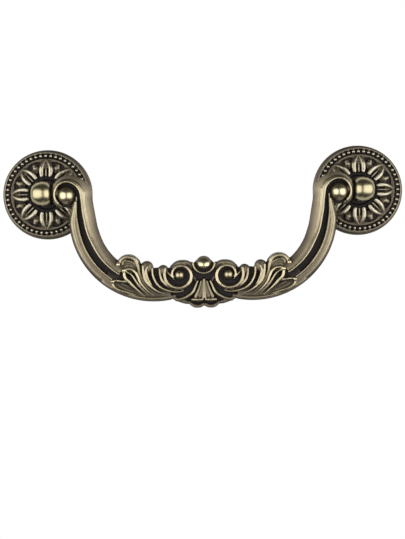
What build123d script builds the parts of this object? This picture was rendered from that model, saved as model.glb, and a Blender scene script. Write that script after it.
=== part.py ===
from build123d import *
from math import cos, radians, sin
import os

# Swing bail pull for a drawer: two cast rosettes, two posts with rounded heads, two hinge pins and a cast bail.
# Every piece is drawn as the handle lies on its back, in millimetres: x runs to the right, y up the drawer
# front and z out of it, with the origin midway between the two screws on the mounting face. stand_up() then
# turns the finished piece, so that its front faces -Y, +Z is up and the drawer front is the plane Y = 0.
# Heights of the rosettes and posts are above the mounting face. Those of the bail, the pins and the posts'
# heads are above the hinge line.

# Layout
screw_spacing = 128.0
axis_height = 15.0

# Rosette, from its edge inwards
rosette_radius = 18.5
rim_height = 1.4
lip_outer_radius = 17.3
lip_inner_radius = 16.8
lip_height = 6.5
channel_radius = 14.7
channel_floor = 5.5
ledge_height = 6.2
ledge_root_radius = 11.6
scallop_radius = 5.4
scallop_center_radius = 8.6
field_height = 4.6
recess_radius = 6.1
seat_height = 3.6
hub_radius = 6.4
hollow_radius = 16.4
casting_wall = 1.8

# Beads, petals and leaf tips on the rosette
bead_count = 48
bead_circle_radius = 15.75
bead_radius = 0.78
bead_crest = 6.9
bead_sides = 6
bead_draft = 16.0
petal_count = 8
petal_root_radius = 6.5
petal_tip_radius = 13.7
petal_half_width = 2.35
petal_root_half_width = 1.5
petal_root_step = 0.2
petal_shoulder_share = 0.87
petal_belly_radius = 8.8
petal_height = 6.1
petal_slot_width = 0.8
petal_tip_gap = 0.1
petal_draft = 28.0
leaf_tip_radius = 10.9
leaf_tip_length = 2.6
leaf_tip_width = 1.5
leaf_tip_height = 5.9
leaf_tip_draft = 8.0

# Post: square shank, collar, neck and cushion head, with a flat for the bail's end and a bore for its pin
shank_width = 6.2
shank_clearance = 0.05
collar_radius = 4.4
collar_height = 1.2
collar_chamfer = 0.4
neck_radius = 3.4
neck_sink_in_head = 1.4
head_radius = 4.9
flat_offset = 2.95
flat_edge_radius = 4.5
head_shoulder_offset = 2.9
head_shoulder_radius = 4.62
head_cheek_offset = 4.4
head_cheek_radius = 3.6
head_end_offset = 4.95
head_end_radius = 2.0
tapped_hole_radius = 1.65
tapped_hole_depth = 11.0
pin_bore_past_center = 2.2

# Hinge pin
pin_radius = 1.40
pin_running_clearance = 0.05
pin_end_clearance = 0.2
pin_depth_in_bail = 6.4

# Bail, its scroll end and its thrust boss
boss_radius = 3.0
boss_length = 3.6
boss_clearance = 0.10
eye_gap = 1.4
eye_offset = 5.25
eye_ball_radius = 3.2
eye_ball_height = 1.3
scroll_radius = 7.45
scroll_center_offset = 2.3
lug_radius = 4.8
plate_back = -3.7
plate_front = 1.0
plate_back_chamfer = 1.3
scroll_start_angle = 180.0
scroll_end_angle = -65.0
scroll_start_radius = 7.8
scroll_end_radius = 3.75
scroll_start_width = 4.0
scroll_end_width = 1.2
scroll_crest = 3.7
scroll_end_crest = 2.9
scroll_points = 9

# Bail, fluted arm: its section is given across the arm, from the inner edge to the outer one
arm_width = 10.4
arm_lean = 6.0
arm_center_drop = 10.0
arm_outer_radius = 34.0
arm_end_angle = -57.0
inner_rib_radius = 2.05
outer_rib_radius = 1.25
outer_rib_flat_share = 0.45
rib_crest = 3.6
outer_rib_crest = 3.2
flute_depth = 3.0
flute_floor_width = 1.8
arm_back = -4.0
arm_side_height = 0.0
arm_back_width = 5.6
eye_to_arm_edge = 9.8

# Bail, carved centre: places are relative to the lowest point of the arm's arc, or of the whole grip
band_inner_radius = 23.6
band_end_angle = -103.0
edge_rib_width = 2.4
edge_rib_top_width = 1.2
edge_rib_front = 2.6
edge_rib_shoulder = 1.6
bridge_bottom = 1.2
bridge_top = 13.9
lobe_discs = (
    # centre, radius and height of the front
    ((10.7, 12.7), 6.2, 2.0),
    ((3.2, 12.7), 3.65, 1.8),
    ((-3.5, 6.3), 8.3, 1.5),
)
lower_leaf = ((17.4, 8.5), (14.7, 5.2), (8.2, 2.6), (4.6, 2.0), (9.6, 7.6))
lower_leaf_front = 2.2
strand_foot = 0.2
strand_spacing = 3.0
shoulder_share = 0.75
shoulder_spread = 0.75
leaf_strands = (
    # points along the ridge, half width at its start and end, height of its crest at start and end
    (((14.9, 15.4), (13.2, 17.0), (10.7, 17.8), (7.8, 16.8), (5.8, 12.5), (4.3, 8.0)), 1.1, 0.8, 3.8, 2.4),
    (((11.6, 13.0), (8.4, 12.2), (5.7, 7.6), (0.9, 2.8)), 0.9, 0.6, 4.4, 2.2),
    (((12.3, 12.2), (11.3, 9.4), (8.6, 6.4), (3.8, 1.9)), 0.9, 0.6, 4.4, 2.2),
    (((11.2, 12.2), (8.6, 10.2), (6.2, 6.4), (2.3, 2.5)), 0.6, 0.4, 3.6, 2.0),
    (((16.8, 8.6), (12.9, 8.4), (10.0, 7.8)), 0.8, 0.6, 3.8, 2.6),
    (((16.8, 8.2), (15.3, 5.5), (8.1, 3.0), (4.3, 2.1)), 0.9, 0.6, 3.8, 2.2),
    (((3.9, 13.9), (3.4, 9.9), (0.2, 5.4), (-4.9, 2.8)), 1.7, 0.7, 3.8, 2.0),
    (((0.7, 13.6), (-0.2, 9.4), (-3.4, 5.2), (-9.2, 4.0)), 0.7, 0.6, 3.4, 2.0),
    (((-2.6, 13.4), (-2.7, 9.6), (-5.6, 6.4)), 1.6, 0.7, 3.6, 2.0),
)
volute_center = (9.8, 10.5)
volute_plate_radius = 5.8
volute_start_angle = -19.0
volute_end_angle = 382.0
volute_start_radius = 2.75
volute_end_radius = 6.2
volute_half_width = 0.65
volute_crest = 3.7
volute_end_crest = 3.1
volute_points = 13
volute_eye_radius = 2.1
volute_eye_sides = 12
volute_eye_crest = 3.4
volute_eye_draft = 24.0
crown_bead_y = 15.5
crown_bead_radius = 3.0
crown_bead_height = 1.6
collar_ring_radius = 4.3
collar_ring_width = 0.8
collar_ring_crest = 2.6
collar_ring_span = 125.0
crown_seat_radius = 4.6
crown_seat_top = 15.2
fan_origin_y = 9.5
fan_rib_angles = (0.0, 13.0, 26.0)
fan_rib_start = 1.4
fan_rib_length = 8.0
fan_rib_start_width = 0.3
fan_rib_end_width = 0.75
fan_rib_crest = 2.6
skirt_corner = (12.6, 0.9)
skirt_side = (9.7, -0.45)
skirt_waist = (6.0, -1.7)
toe_peak = (2.42, -2.8)
toe_notch = (0.0, -2.2)
skirt_top = 6.0
skirt_leaf = ((2.6, 7.9), (4.1, 4.3), (6.9, 1.9), (10.3, 0.9))
skirt_leaf_start_half_width = 0.4
skirt_leaf_end_half_width = 0.6
skirt_leaf_crest = 3.0
skirt_leaf_end_crest = 1.8
toe_roll_y = 0.3
toe_roll_inner_x = 0.7
toe_roll_outer_x = 4.9
toe_roll_half_width = 1.0
toe_roll_crest = 2.9

# Places that follow from the sizes above
half_spacing = screw_spacing / 2
post_flat_x = half_spacing - flat_offset
eye_x = post_flat_x - eye_gap - eye_offset
scroll_center_x = eye_x - scroll_center_offset
arm_middle_radius = arm_outer_radius - arm_width / 2
lean_sine = sin(radians(arm_lean))
lean_cosine = cos(radians(arm_lean))
straight_length = (arm_center_drop - arm_middle_radius * -lean_sine) / lean_cosine
arm_top_x = eye_x - eye_to_arm_edge + arm_width / 2
arm_center_x = arm_top_x - straight_length * lean_sine - arm_middle_radius * lean_cosine
grip_bottom_y = -arm_center_drop - arm_outer_radius
pin_tip_x = half_spacing + pin_bore_past_center - pin_end_clearance
pin_root_x = post_flat_x - eye_gap - pin_depth_in_bail + boss_clearance
leaf_anchor = Pos(arm_center_x, grip_bottom_y, 0)
center_anchor = Pos(0, grip_bottom_y, 0)


def stand_up(piece):
    """Turns a piece from lying on its back to its place on an upright drawer front."""
    return Rot(90, 0, 0) * piece


def turned(*corners):
    """Solid of revolution round z, from the radius and height of each corner of its half section."""
    return revolve(Plane.XZ * make_face(Polyline(*corners, close=True)), axis=Axis.Z)


def upright_prism(face, low, high):
    """Straight block over a flat outline, between two heights."""
    return Pos(0, 0, low) * extrude(face, amount=high - low, dir=(0, 0, 1))


def drafted_prism(face, low, high, draft):
    """Block over a flat outline, between two heights, whose sides lean in by the draft angle."""
    return Pos(0, 0, low) * extrude(face, amount=high - low, dir=(0, 0, 1), taper=draft)


def ridge(path, half_widths, crests, rounded=False):
    """Carved strand that narrows and sinks along a flat path: pointed, or with round shoulders."""
    stations = 2 + round(path.length / strand_spacing)
    sections = []
    for step in range(stations):
        share = step / (stations - 1)
        half_width = half_widths[0] + (half_widths[1] - half_widths[0]) * share
        crest = crests[0] + (crests[1] - crests[0]) * share
        tangent = path % share
        across = Vector(-tangent.Y, tangent.X, 0)
        corners = [(-half_width, strand_foot), (0, crest), (half_width, strand_foot)]
        if rounded:
            shoulder = strand_foot + (crest - strand_foot) * shoulder_share
            corners.insert(1, (-half_width * shoulder_spread, shoulder))
            corners.insert(3, (half_width * shoulder_spread, shoulder))
        outline = make_face(Polyline(*corners, close=True))
        sections.append(Plane(origin=path @ share, x_dir=across, z_dir=tangent) * outline)
    return loft(sections, ruled=True)


def spiral(center, angles, radii, points):
    """Spiral whose radius changes evenly with its angle, as a curve through evenly spaced points."""
    places = []
    for step in range(points):
        share = step / (points - 1)
        angle = radians(angles[0] + (angles[1] - angles[0]) * share)
        radius = radii[0] + (radii[1] - radii[0]) * share
        places.append((center[0] + radius * cos(angle), center[1] + radius * sin(angle)))
    return Spline(*places)


def rosette_body():
    """Turned blank of the rosette: flanged rim, bead channel, field and recess, hollow behind its hub."""
    roof = field_height - casting_wall
    return turned(
        (0, 0),
        (hub_radius, 0),
        (hub_radius, roof),
        (hollow_radius, roof),
        (hollow_radius, 0),
        (rosette_radius, 0),
        (rosette_radius, rim_height),
        (lip_outer_radius, lip_height),
        (lip_inner_radius, lip_height),
        (lip_inner_radius, channel_floor),
        (channel_radius, channel_floor),
        (channel_radius, field_height),
        (recess_radius, field_height),
        (recess_radius, seat_height),
        (0, seat_height),
    )


def scalloped_ledge():
    """Raised ledge between the bead channel and the field, cut back in a scallop between each two petals."""
    blank = Circle(channel_radius) - Circle(ledge_root_radius)
    for index in range(petal_count):
        angle = 360 / petal_count * (index + 0.5)
        blank -= Rot(0, 0, angle) * Pos(scallop_center_radius, 0) * Circle(scallop_radius)
    return upright_prism(blank, field_height, ledge_height)


def beads():
    """Ring of faceted beads that stand in the channel."""
    bead = drafted_prism(RegularPolygon(bead_radius, bead_sides), channel_floor, bead_crest, bead_draft)
    return PolarLocations(bead_circle_radius, bead_count) * bead


def petal():
    """One petal along x: two plump lobes that lean together at the tip, with a dark slot between them."""
    lobe = Polyline(
        (petal_root_radius, petal_slot_width / 2),
        (petal_tip_radius, petal_tip_gap / 2),
        (petal_belly_radius + petal_half_width, petal_half_width * petal_shoulder_share),
        (petal_belly_radius, petal_half_width),
        (petal_root_radius + petal_root_step, petal_root_half_width),
        close=True,
    )
    upper = drafted_prism(make_face(lobe), field_height, petal_height, petal_draft)
    return upper + mirror(upper, about=Plane.XZ)


def leaf_tip():
    """Small pointed leaf tip along x, which shows between two petals."""
    outline = Polyline(
        (leaf_tip_radius - leaf_tip_length / 2, 0),
        (leaf_tip_radius, -leaf_tip_width / 2),
        (leaf_tip_radius + leaf_tip_length / 2, 0),
        (leaf_tip_radius, leaf_tip_width / 2),
        close=True,
    )
    return drafted_prism(make_face(outline), field_height, leaf_tip_height, leaf_tip_draft)


def make_rosette():
    """One rosette, centred on its screw."""
    body = rosette_body() + scalloped_ledge()
    body += [Rot(0, 0, 360 / petal_count * index) * petal() for index in range(petal_count)]
    body += [Rot(0, 0, 360 / petal_count * (index + 0.5)) * leaf_tip() for index in range(petal_count)]
    body += beads()
    hole_width = shank_width + 2 * shank_clearance
    return body - Box(hole_width, hole_width, 4 * seat_height)


def post_head():
    """Cushion head of a post, turned round the hinge line: its flat faces the bail, towards -x."""
    shoulder = (head_shoulder_offset, head_shoulder_radius)
    end = (head_end_offset, head_end_radius)
    half_section = make_face(
        [
            Polyline((head_end_offset, 0), (-flat_offset, 0), (-flat_offset, flat_edge_radius)),
            ThreePointArc((-flat_offset, flat_edge_radius), (0, head_radius), shoulder),
            ThreePointArc(shoulder, (head_cheek_offset, head_cheek_radius), end),
            Line(end, (head_end_offset, 0)),
        ]
    )
    return revolve(half_section, axis=Axis.X)


def make_post():
    """Post on the right, centred on its screw."""
    head = Pos(0, 0, axis_height) * post_head()
    neck_top = axis_height - head_radius + neck_sink_in_head
    collar_top = seat_height + collar_height
    stem = turned(
        (0, seat_height),
        (collar_radius, seat_height),
        (collar_radius, collar_top - collar_chamfer),
        (collar_radius - collar_chamfer, collar_top),
        (neck_radius, collar_top),
        (neck_radius, neck_top),
        (0, neck_top),
    )
    shank = Pos(0, 0, seat_height / 2) * Box(shank_width, shank_width, seat_height)
    flat = Box(head_radius, 3 * head_radius, 2 * head_radius)
    flat = Pos(-flat_offset - head_radius / 2, 0, axis_height) * flat
    post = shank + stem + head - flat
    post -= Pos(0, 0, tapped_hole_depth / 2) * Cylinder(tapped_hole_radius, tapped_hole_depth)
    bore_length = flat_offset + pin_bore_past_center
    bore = Cylinder(pin_radius + pin_running_clearance, bore_length)
    return post - Pos(pin_bore_past_center - bore_length / 2, 0, axis_height) * Rot(0, 90, 0) * bore


def make_pin():
    """Hinge pin on the right: pressed into the bail's end and free to turn in the post."""
    length = pin_tip_x - pin_root_x
    return Pos((pin_tip_x + pin_root_x) / 2, 0, 0) * Rot(0, 90, 0) * Cylinder(pin_radius, length)


def arm_section():
    """Section of the arm: x from the inner edge to the outer one, y the height above the hinge line."""
    half = arm_width / 2
    inner_valley = (-half + 2 * inner_rib_radius, rib_crest - inner_rib_radius)
    outer_valley = (half - 2 * outer_rib_radius, outer_rib_crest - outer_rib_radius)
    flute_middle = (inner_valley[0] + outer_valley[0]) / 2
    flute_floor = (
        (flute_middle - flute_floor_width / 2, rib_crest - flute_depth),
        (flute_middle + flute_floor_width / 2, rib_crest - flute_depth),
    )
    outer_rib = (
        (half - (1 + outer_rib_flat_share) * outer_rib_radius, outer_rib_crest),
        (half - (1 - outer_rib_flat_share) * outer_rib_radius, outer_rib_crest),
        (half, outer_rib_crest - outer_rib_radius),
    )
    inner_side = (-half, arm_side_height)
    outer_side = (half, arm_side_height)
    return make_face(
        [
            Line(inner_side, (-half, rib_crest - inner_rib_radius)),
            ThreePointArc(
                (-half, rib_crest - inner_rib_radius), (-half + inner_rib_radius, rib_crest), inner_valley
            ),
            Polyline(inner_valley, *flute_floor, outer_valley, *outer_rib, outer_side),
            Polyline(outer_side, (arm_back_width / 2, arm_back), (-arm_back_width / 2, arm_back), inner_side),
        ]
    )


def make_arm():
    """Fluted arm on the right: a short straight run down from the scroll, then an arc in to the carving."""
    down = Vector(-lean_sine, -lean_cosine, 0)
    outwards = Vector(lean_cosine, -lean_sine, 0)
    section = Plane(origin=(arm_top_x, 0), x_dir=outwards, z_dir=down) * arm_section()
    straight = extrude(section, amount=straight_length, dir=down)
    arc_start = Pos(*(down * straight_length)) * section
    turn = Axis((arm_center_x, -arm_center_drop, 0), (0, 0, -1))
    return straight + revolve(arc_start, axis=turn, revolution_arc=-arm_end_angle - arm_lean)


def make_scroll():
    """Scroll end on the right: plate, rolled rib that winds in to the eye ball, and lug with thrust boss."""
    disc = Pos(scroll_center_x, 0) * Circle(scroll_radius)
    below = Pos(scroll_center_x, -scroll_radius) * Rectangle(3 * scroll_radius, 2 * scroll_radius)
    plate = upright_prism((disc - below) + Pos(eye_x, 0) * Circle(lug_radius), plate_back, plate_front)
    plate = chamfer(plate.edges().group_by(Axis.Z)[0], plate_back_chamfer)
    path = spiral(
        (eye_x, 0),
        (scroll_start_angle, scroll_end_angle),
        (scroll_start_radius, scroll_end_radius),
        scroll_points,
    )
    rib = ridge(
        path, (scroll_start_width / 2, scroll_end_width / 2), (scroll_crest, scroll_end_crest), rounded=True
    )
    eye = Pos(eye_x, 0, eye_ball_height) * Sphere(eye_ball_radius)
    boss_end_x = post_flat_x - boss_clearance
    boss = Rot(0, 90, 0) * Cylinder(boss_radius, boss_length)
    boss = Pos(boss_end_x - boss_length / 2, 0, 0) * boss
    return plate + rib + eye + boss


def leaf_band():
    """Band on the right that carries on the arm's curve under the leaves, with a rib along its lower edge."""
    rib_inside = arm_outer_radius - edge_rib_width
    rib_side = (edge_rib_width - edge_rib_top_width) / 2
    back_edge = arm_outer_radius - (arm_width - arm_back_width) / 2
    section = Polyline(
        (band_inner_radius, plate_back),
        (back_edge, plate_back),
        (arm_outer_radius, arm_side_height),
        (arm_outer_radius, edge_rib_shoulder),
        (arm_outer_radius - rib_side, edge_rib_front),
        (rib_inside + rib_side, edge_rib_front),
        (rib_inside, plate_front),
        (band_inner_radius, plate_front),
        close=True,
    )
    start = Pos(0, arm_outer_radius, 0) * Rot(0, 0, arm_end_angle) * (Plane.XZ * make_face(section))
    turn = Axis((0, arm_outer_radius, 0), (0, 0, -1))
    return revolve(start, axis=turn, revolution_arc=arm_end_angle - band_end_angle)


def leaf_plate():
    """Ground of the leaves on the right: the band, three lobes that bulge over it, and the lowest leaf."""
    ground = leaf_band()
    inside = Pos(0, arm_outer_radius) * Circle(arm_outer_radius - edge_rib_width)
    for place, radius, front in lobe_discs:
        ground += upright_prism((Pos(*place) * Circle(radius)) & inside, plate_back, front)
    leaf = make_face(Polyline(*lower_leaf, close=True))
    return ground + upright_prism(leaf, plate_front, lower_leaf_front)


def center_plate():
    """Ground of the middle on the right: volute disc, half the skirt and the bridge to the leaves."""
    skirt = make_face(
        [
            Line((0, skirt_top), (skirt_corner[0], skirt_top)),
            Line((skirt_corner[0], skirt_top), skirt_corner),
            ThreePointArc(skirt_corner, skirt_side, skirt_waist),
            ThreePointArc(skirt_waist, toe_peak, toe_notch),
            Line(toe_notch, (0, skirt_top)),
        ]
    )
    bridge = Pos(arm_center_x / 2, (bridge_bottom + bridge_top) / 2) * Rectangle(
        arm_center_x, bridge_top - bridge_bottom
    )
    outline = skirt + bridge + Pos(*volute_center) * Circle(volute_plate_radius)
    return upright_prism(outline, plate_back, plate_front)


def leaf_carving():
    """Strands of the leaves on the right."""
    strands = []
    for points, start_half_width, end_half_width, start_crest, end_crest in leaf_strands:
        strands.append(ridge(Spline(*points), (start_half_width, end_half_width), (start_crest, end_crest)))
    return strands


def center_carving():
    """Volute, fan ribs, skirt leaf and toe roll on the right."""
    path = spiral(
        volute_center,
        (volute_start_angle, volute_end_angle),
        (volute_start_radius, volute_end_radius),
        volute_points,
    )
    volute = ridge(path, (volute_half_width, volute_half_width), (volute_crest, volute_end_crest))
    eye = Pos(*volute_center) * RegularPolygon(volute_eye_radius, volute_eye_sides)
    button = drafted_prism(eye, plate_front, volute_eye_crest, volute_eye_draft)
    ribs = []
    for angle in fan_rib_angles[1:]:
        ribs.append(fan_rib(angle))
    leaf = ridge(
        Spline(*skirt_leaf),
        (skirt_leaf_start_half_width, skirt_leaf_end_half_width),
        (skirt_leaf_crest, skirt_leaf_end_crest),
    )
    roll_line = Line((toe_roll_inner_x, toe_roll_y), (toe_roll_outer_x, toe_roll_y))
    roll = ridge(roll_line, (toe_roll_half_width,) * 2, (toe_roll_crest,) * 2, rounded=True)
    return [volute, button, leaf, roll] + ribs


def fan_rib(angle):
    """One rib of the fan, which points down and leans out by the angle."""
    slant = radians(angle)
    start = (fan_rib_start * sin(slant), fan_origin_y - fan_rib_start * cos(slant))
    end = (fan_rib_length * sin(slant), fan_origin_y - fan_rib_length * cos(slant))
    return ridge(Line(start, end), (fan_rib_start_width, fan_rib_end_width), (fan_rib_crest, fan_rib_crest))


def middle_ornament():
    """What lies on the middle line: the crown bead in its collar, and the fan's middle rib."""
    bead = Pos(0, crown_bead_y, crown_bead_height) * Sphere(crown_bead_radius)
    start_angle = -90 - collar_ring_span / 2
    arc = CenterArc((0, crown_bead_y), collar_ring_radius, start_angle, collar_ring_span)
    ring = ridge(arc, (collar_ring_width / 2,) * 2, (collar_ring_crest,) * 2)
    above = Rectangle(2 * crown_seat_radius, 2 * crown_seat_radius)
    above = Pos(0, crown_seat_top + crown_seat_radius) * above
    cup = Pos(0, crown_bead_y) * Circle(crown_seat_radius) - above
    seat = upright_prism(cup, plate_back, plate_front)
    return [bead, ring, seat, fan_rib(fan_rib_angles[0])]


def make_bail():
    """The bail, one casting: both halves are mirror images about the middle line."""
    half = make_arm() + make_scroll()
    half += leaf_anchor * leaf_plate()
    half += center_anchor * center_plate()
    half += [leaf_anchor * strand for strand in leaf_carving()]
    half += [center_anchor * piece for piece in center_carving()]
    half -= make_pin()
    whole = half + mirror(half, about=Plane.YZ)
    whole += [center_anchor * piece for piece in middle_ornament()]
    return whole


def main():
    """Writes one file for each piece."""
    os.makedirs("parts", exist_ok=True)
    rosette = make_rosette()
    post = Pos(half_spacing, 0, 0) * make_post()
    hinge_line = Pos(0, 0, axis_height)
    pin = hinge_line * make_pin()
    pieces = {
        "rosette_right": Pos(half_spacing, 0, 0) * rosette,
        "rosette_left": Pos(-half_spacing, 0, 0) * rosette,
        "post_right": post,
        "post_left": mirror(post, about=Plane.YZ),
        "hinge_pin_right": pin,
        "hinge_pin_left": mirror(pin, about=Plane.YZ),
        "bail": hinge_line * make_bail(),
    }
    for name, piece in pieces.items():
        export_step(stand_up(piece), f"parts/{name}.step")


if __name__ == "__main__":
    main()
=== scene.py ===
from math import cos, pi, radians, sin

import bmesh
import bpy
import numpy as np
from mathutils import Matrix, Vector


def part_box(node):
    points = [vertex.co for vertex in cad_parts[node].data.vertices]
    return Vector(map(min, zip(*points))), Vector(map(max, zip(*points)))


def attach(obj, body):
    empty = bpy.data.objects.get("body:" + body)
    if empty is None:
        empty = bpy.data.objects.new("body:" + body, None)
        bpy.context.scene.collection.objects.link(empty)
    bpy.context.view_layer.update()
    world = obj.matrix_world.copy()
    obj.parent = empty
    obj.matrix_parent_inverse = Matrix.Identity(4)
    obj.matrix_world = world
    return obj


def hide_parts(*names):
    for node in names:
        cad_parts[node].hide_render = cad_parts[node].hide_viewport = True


# Looks of a swing bail pull in antique brass. Lengths are in millimetres until a piece is finished, when
# it is scaled to metres. X runs to the right, Z up and -Y out of the drawer front. A height is a distance in
# front of the drawer front, so a point at height h has y = -h. A crest is the height of a ridge's top.

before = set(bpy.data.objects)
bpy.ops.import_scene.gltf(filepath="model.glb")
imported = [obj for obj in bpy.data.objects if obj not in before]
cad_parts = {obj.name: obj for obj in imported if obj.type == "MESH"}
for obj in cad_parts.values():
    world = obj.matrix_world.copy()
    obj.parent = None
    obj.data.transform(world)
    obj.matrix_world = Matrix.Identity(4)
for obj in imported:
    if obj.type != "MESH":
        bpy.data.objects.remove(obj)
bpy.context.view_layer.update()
metres = 0.001

# Places read from the frame
post_low, post_high = [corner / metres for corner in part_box("post_right")]
pin_low, pin_high = [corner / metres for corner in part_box("hinge_pin_right")]
rosette_low, rosette_high = [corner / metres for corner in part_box("rosette_right")]
bail_low, bail_high = [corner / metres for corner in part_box("bail")]
hinge_height = -(pin_low.y + pin_high.y) / 2
pin_radius = (pin_high.z - pin_low.z) / 2
screw_x = (rosette_low.x + rosette_high.x) / 2
rosette_radius = (rosette_high.x - rosette_low.x) / 2
boss_end_x = bail_high.x

# Skins of the castings
bail_voxel = 0.16
rosette_voxel = 0.2
post_voxel = 0.15
most_triangles = 190000
skin_easing = 7
merge_distance = 0.001
mirror_distance = 0.02

# How far a solid reaches into the one under it, and a cutting tool past the surface
overlap = 0.5
overcut = 1.0

# How finely round solids are divided
ball_sides = 64
ball_rings = 40
disc_sides = 96
bar_sides = 64
turned_steps = 144
head_steps = 32
head_rounding = 3
bevel_steps = 3
strand_bevel_steps = 5
strand_steps = 8
spiral_step = 24

# Rosette, heights and radii
rim_height = 1.4
lip_outer_radius = 17.3
lip_inner_radius = 16.8
lip_height = 6.3
channel_floor = 5.0
ledge_height = 5.7
ledge_inner_radius = 12.7
ledge_outer_radius = 14.75
scallop_radius = 4.7
scallop_center = 9.2
field_height = 4.6
recess_radius = 6.1
seat_height = 3.6
rim_chamfer = 0.3
lip_draft = 0.1
lip_round = 0.4
lip_chamfer = 0.15
ledge_slope = 0.2
middle_hole_radius = 0.5
hub_radius = 6.4
hollow_radius = 16.4
hollow_height = 2.8
shank_width = 6.2
shank_play = 0.1
bead_count = 48
bead_circle = 15.75
bead_radius = 0.72
bead_crest = 6.88
petal_count = 8
petal_lobe = ((7.7, 1.75), (9.0, 1.95), (10.8, 1.85), (12.6, 1.2), (14.2, 0.25))
petal_crests = (7.05, 7.1, 6.85, 6.4, 5.85)
petal_half_widths = (0.85, 1.08, 1.15, 0.95, 0.4)
petal_vein = (((7.6, 0.0), (10.0, 0.0), (12.6, 0.0)), (6.5, 6.4, 5.7), (0.42, 0.4, 0.2))
leaf_point_strand = (((9.8, 0.0), (11.6, 0.0), (12.5, 0.0)), (5.7, 6.65, 6.2), (0.8, 1.6, 1.1))

# Post
head_flat = 2.95
head_profile = (
    # along the hinge line from the screw's axis, and radius
    (-2.95, 0.0),
    (-2.95, 2.6),
    (-2.95, 3.5),
    (-2.3, 4.25),
    (-1.2, 4.8),
    (0.0, 5.0),
    (1.5, 4.85),
    (3.1, 4.3),
    (4.4, 3.4),
    (5.0, 2.2),
    (5.0, 0.0),
)
collar_radius = 4.4
collar_top = 4.8
collar_chamfer = 0.4
collar_fillet = 0.3
neck_radius = 3.4
neck_sink = 2.0
core_radius = 1.0
core_low = 2.0
screw_bore_radius = 1.65
screw_bore_depth = 11.0
pin_bore_depth = 2.2
pin_play = 0.05

# Arm of the bail: across is the distance from the arm's middle line, outwards
arm_inner_x = 44.6
arm_width = 10.4
arm_lean = radians(6.0)
arm_drop = 10.0
arm_outer_radius = 34.0
arm_radius = arm_outer_radius - arm_width / 2
arm_top_x = arm_inner_x + arm_width / 2
arm_straight = (arm_drop + arm_radius * sin(arm_lean)) / cos(arm_lean)
arm_center_x = arm_top_x - arm_straight * sin(arm_lean) - arm_radius * cos(arm_lean)
arm_end = radians(58.0)
arm_section = (
    # across and height at the scroll, across and height lower down
    (-2.8, 11.0, -2.8, 11.0),
    (2.8, 11.0, 2.8, 11.0),
    (5.2, 15.0, 5.2, 15.0),
    (5.2, 16.2, 5.2, 16.2),
    (4.6, 16.9, 4.6, 16.9),
    (3.4, 17.5, 3.3, 17.4),
    (2.1, 17.5, 1.5, 17.6),
    (1.7, 15.6, 1.1, 15.6),
    (1.3, 15.2, 0.8, 15.2),
    (-0.2, 15.2, -1.3, 15.2),
    (-0.5, 15.6, -1.6, 15.6),
    (-0.7, 17.8, -1.85, 17.7),
    (-1.3, 18.0, -2.4, 17.9),
    (-2.2, 18.2, -3.1, 17.9),
    (-3.0, 18.0, -4.0, 17.6),
    (-4.0, 17.4, -5.2, 16.9),
    (-4.9, 16.9, -6.0, 16.55),
    (-5.1, 16.2, -6.3, 16.2),
)
arm_section_ease = 18.0
arm_loops = 48
arm_rib_places = 18
arm_ribs = (
    # places down the arm, and across, crest and half width at each
    ((0.0, 8.0, 16.0, 22.0), (-2.1, -1.95, -2.6, -3.2), (18.6, 18.5, 18.2, 17.8), (0.6, 0.6, 0.55, 0.5)),
    (
        (0.0, 8.0, 16.0, 22.0), (-1.05, -0.85, -1.5, -2.0), (18.45, 18.45, 18.45, 18.4),
        (0.36, 0.36, 0.36, 0.36),
    ),
    ((3.6, 11.0, 38.0), (1.5, 3.5, 3.3), (18.2, 18.2, 17.6), (0.4, 1.3, 1.1)),
    ((1.6, 9.0, 16.0, 38.0), (0.9, 1.9, 1.6, 1.25), (17.9, 17.9, 17.9, 18.2), (0.3, 0.4, 0.38, 0.38)),
)
arm_shoulder = (
    # x and z of two places on the line along which the arm is cut back beside the scroll
    (50.9, -1.2),
    (53.9, -10.5),
)

# Scroll end of the bail, round the eye
eye_x = 54.7
eye_z = -0.95
eye_radius = 3.7
eye_height = 15.8
plate_back = 11.3
scroll_floor = 15.3
lug_radius = 4.8
boss_radius = 2.3
boss_length = 3.6
pin_seat_depth = 6.0
scroll_turns = (
    # angle round the eye, radii of the outer edge, the crest and the lip, and heights of the outer edge
    # and the crest
    (198, 10.6, 7.5, 6.45, 16.7, 18.2),
    (182, 10.15, 7.05, 5.95, 17.05, 18.5),
    (170, 10.2, 6.9, 5.85, 17.3, 18.5),
    (155, 9.6, 6.5, 5.7, 17.5, 18.4),
    (129, 8.75, 6.1, 5.5, 17.65, 18.3),
    (92, 8.05, 5.8, 5.4, 17.65, 18.25),
    (59, 7.1, 5.4, 5.1, 17.55, 18.2),
    (30, 6.5, 5.05, 4.8, 17.4, 18.2),
    (4, 6.05, 4.85, 4.65, 17.15, 18.1),
    (-19, 5.8, 4.75, 4.6, 17.0, 18.0),
    (-45, 5.75, 4.8, 4.55, 16.9, 17.9),
    (-68, 5.7, 4.9, 4.6, 16.5, 17.0),
)
scroll_loops = 40
scroll_wall = 1.2
scroll_lip_setback = 0.2
scroll_lip_drop = 0.1
scroll_start = 4.5
scroll_crest_across = -2.0
scroll_crests = (18.5, 18.6, 18.5, 18.1, 17.7)
scroll_crest_half_widths = (0.7, 0.7, 0.3)
scroll_lip_across = -0.94
scroll_lip_crests = (18.4, 18.75, 18.75, 18.75, 18.1)
scroll_lip_half_widths = (0.38, 0.38, 0.38, 0.38, 0.38, 0.38, 0.6)

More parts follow.
